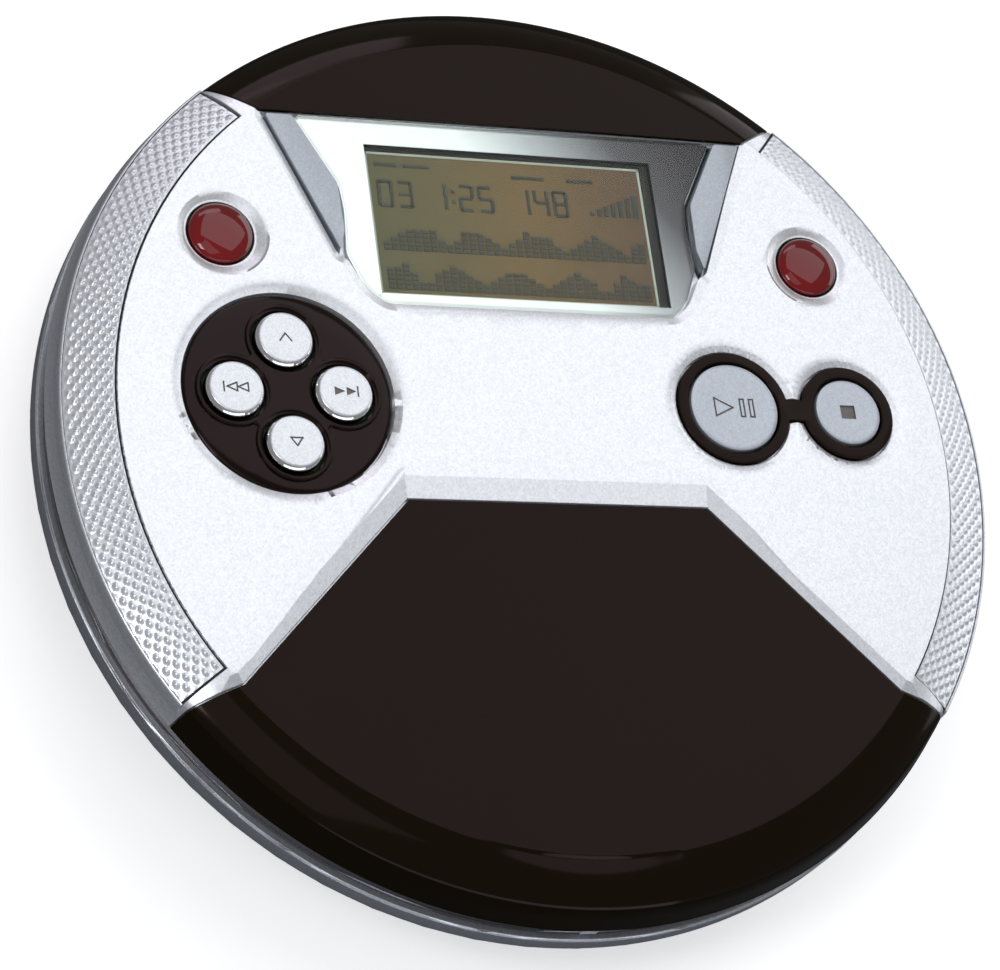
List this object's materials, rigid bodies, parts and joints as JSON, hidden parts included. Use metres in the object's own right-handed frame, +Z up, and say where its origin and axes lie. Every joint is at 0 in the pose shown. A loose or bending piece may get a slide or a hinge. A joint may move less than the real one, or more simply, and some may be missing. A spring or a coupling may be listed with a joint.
{
  "type": "portable CD player",
  "caption": "Slim round portable disc player: hinged silver lid with display and keys, dark panels, knurled grips, disc mechanism and batteries inside.",
  "frame": {"origin": "centre of the bounding box, on the plane under the feet", "axes": "+X to the user's right, +Y to the hinge at the rear, +Z up; the lid opens from the front"},
  "size_m": [0.1342, 0.1342, 0.0282],
  "materials": {
    "base_silver": "silver lacquer on moulded plastic, satin gloss",
    "lid_silver": "pale silver lacquer with a fine metallic grain",
    "belt_dark": "dark graphite plastic, glossy",
    "panel_gloss": "brown-black piano gloss",
    "grip_silver": "pale silver plastic, knurled",
    "clear_window": "clear polished plastic",
    "window_surround": "silver print behind the window",
    "lcd_amber": "olive to amber display",
    "key_silver": "silver lacquered keys",
    "dome_red": "deep red, clear and glossy",
    "liner_grey": "moulded grey",
    "key_board_green": "circuit board with green mask",
    "board_green": "circuit board with green mask",
    "hinge_steel": "ground steel pin",
    "chassis_steel": "zinc plated sheet",
    "nickel": "bright nickel plate",
    "foot_rubber": "black rubber",
    "black_plastic": "black moulded plastic",
    "hub_white": "white acetal",
    "cell_jacket": "printed foil sleeve, plain",
    "lens_glass": "coated lens"
  },
  "bodies": {
    "base": {"base_shell": "base_silver", "aa_cell_front": "cell_jacket", "aa_cell_rear": "cell_jacket", "battery_bridge": "nickel", "battery_spring_contact": "nickel", "battery_plus_contact": "nickel", "mid_frame": "belt_dark", "mech_chassis": "chassis_steel", "damper_bush_front": "foot_rubber", "damper_bush_rear": "foot_rubber", "damper_bush_left": "foot_rubber", "spindle_motor": "chassis_steel", "guide_rod_front": "nickel", "guide_rod_rear": "nickel", "feed_motor": "chassis_steel", "main_board": "board_green", "phones_jack": "black_plastic", "line_jack": "black_plastic", "dc_jack": "black_plastic", "hinge_pin": "hinge_steel", "rubber_foot_rear_right": "foot_rubber", "case_screw_rear_right": "chassis_steel", "rubber_foot_rear_left": "foot_rubber", "case_screw_rear_left": "chassis_steel", "rubber_foot_front_right": "foot_rubber", "case_screw_front_right": "chassis_steel", "rubber_foot_front_left": "foot_rubber", "case_screw_front_left": "chassis_steel"},
    "lid": {"lid_shell": "lid_silver", "lid_liner": "liner_grey", "front_panel": "panel_gloss", "rear_panel": "panel_gloss", "grip_right": "grip_silver", "grip_left": "grip_silver", "lcd_window": "clear_window", "lcd_frame": "window_surround", "lcd_panel": "lcd_amber", "key_board": "key_board_green", "dpad_bezel": "panel_gloss", "play_stop_bezel": "panel_gloss"},
    "up_key_body": {"up_key": "key_silver"},
    "down_key_body": {"down_key": "key_silver"},
    "previous_key_body": {"previous_key": "key_silver"},
    "next_key_body": {"next_key": "key_silver"},
    "play_pause_key_body": {"play_pause_key": "key_silver"},
    "stop_key_body": {"stop_key": "key_silver"},
    "right_dome_key_body": {"right_dome_key": "dome_red"},
    "left_dome_key_body": {"left_dome_key": "dome_red"},
    "mode_key_body": {"mode_key": "key_silver"},
    "display_key_body": {"display_key": "key_silver"},
    "battery_door_body": {"battery_door": "base_silver"},
    "slider": {"open_slider": "base_silver"},
    "hold": {"hold_switch": "black_plastic"},
    "lid_switch": {"lid_switch_pin": "hub_white"},
    "turntable": {"turntable_hub": "hub_white", "spindle_shaft": "nickel"},
    "sled": {"laser_sled": "black_plastic"},
    "lens": {"lens_holder": "black_plastic", "objective_lens": "lens_glass"},
    "screw": {"feed_screw": "nickel"}
  },
  "joints": [
    {"name": "lid_hinge", "type": "hinge", "parent": "base", "child": "lid", "pos_m": [0, 0.064, 0.0183], "axis": [-1, 0, 0], "range_deg": [0, 70]},
    {"name": "up_key_press", "type": "slide", "parent": "lid", "child": "up_key_body", "axis": [0, 0, -1], "range_m": [0, 0.0005], "stiffness_N_per_m": 1000},
    {"name": "down_key_press", "type": "slide", "parent": "lid", "child": "down_key_body", "axis": [0, 0, -1], "range_m": [0, 0.0005], "stiffness_N_per_m": 1000},
    {"name": "previous_key_press", "type": "slide", "parent": "lid", "child": "previous_key_body", "axis": [0, 0, -1], "range_m": [0, 0.0005], "stiffness_N_per_m": 1000},
    {"name": "next_key_press", "type": "slide", "parent": "lid", "child": "next_key_body", "axis": [0, 0, -1], "range_m": [0, 0.0005], "stiffness_N_per_m": 1000},
    {"name": "play_pause_key_press", "type": "slide", "parent": "lid", "child": "play_pause_key_body", "axis": [0, 0, -1], "range_m": [0, 0.0005], "stiffness_N_per_m": 1000},
    {"name": "stop_key_press", "type": "slide", "parent": "lid", "child": "stop_key_body", "axis": [0, 0, -1], "range_m": [0, 0.0005], "stiffness_N_per_m": 1000},
    {"name": "right_dome_key_press", "type": "slide", "parent": "lid", "child": "right_dome_key_body", "axis": [0, 0, -1], "range_m": [0, 0.0005], "stiffness_N_per_m": 1000},
    {"name": "left_dome_key_press", "type": "slide", "parent": "lid", "child": "left_dome_key_body", "axis": [0, 0, -1], "range_m": [0, 0.0005], "stiffness_N_per_m": 1000},
    {"name": "mode_key_press", "type": "slide", "parent": "lid", "child": "mode_key_body", "axis": [0, 0, -1], "range_m": [0, 0.0005], "stiffness_N_per_m": 1000},
    {"name": "display_key_press", "type": "slide", "parent": "lid", "child": "display_key_body", "axis": [0, 0, -1], "range_m": [0, 0.0005], "stiffness_N_per_m": 1000},
    {"name": "battery_door_hinge", "type": "hinge", "parent": "base", "child": "battery_door_body", "pos_m": [0, 0.0215, 0.0013], "axis": [-1, 0, 0], "range_deg": [0, 80]},
    {"name": "open_slide", "type": "slide", "parent": "base", "child": "slider", "axis": [-1, 0, 0], "range_m": [0, 0.005], "stiffness_N_per_m": 100},
    {"name": "hold_slide", "type": "slide", "parent": "base", "child": "hold", "axis": [0.7547, 0.6561, 0], "range_m": [0, 0.002]},
    {"name": "lid_switch_rise", "type": "slide", "parent": "base", "child": "lid_switch", "axis": [0, 0, 1], "range_m": [0, 0.001]},
    {"name": "turntable_spin", "type": "hinge", "parent": "base", "child": "turntable", "pos_m": [0, 0, 0.0189], "axis": [0, 0, 1], "continuous": true},
    {"name": "sled_travel", "type": "slide", "parent": "base", "child": "sled", "axis": [-1, 0, 0], "range_m": [0, 0.033]},
    {"name": "lens_focus", "type": "slide", "parent": "sled", "child": "lens", "axis": [0, 0, 1], "range_m": [-0.0002, 0.0002], "stiffness_N_per_m": 100},
    {"name": "feed_screw_spin", "type": "hinge", "parent": "base", "child": "screw", "pos_m": [-0.054, -0.0165, 0.01], "axis": [-1, 0, 0], "range_deg": [0, 3960]}
  ],
  "couplings": [
    {"joint": "feed_screw_spin", "follows": "sled_travel", "rad_per_m": 2094.4},
    {"joint": "lid_switch_rise", "follows": "lid_hinge", "m_per_rad": 0.0008}
  ]
}
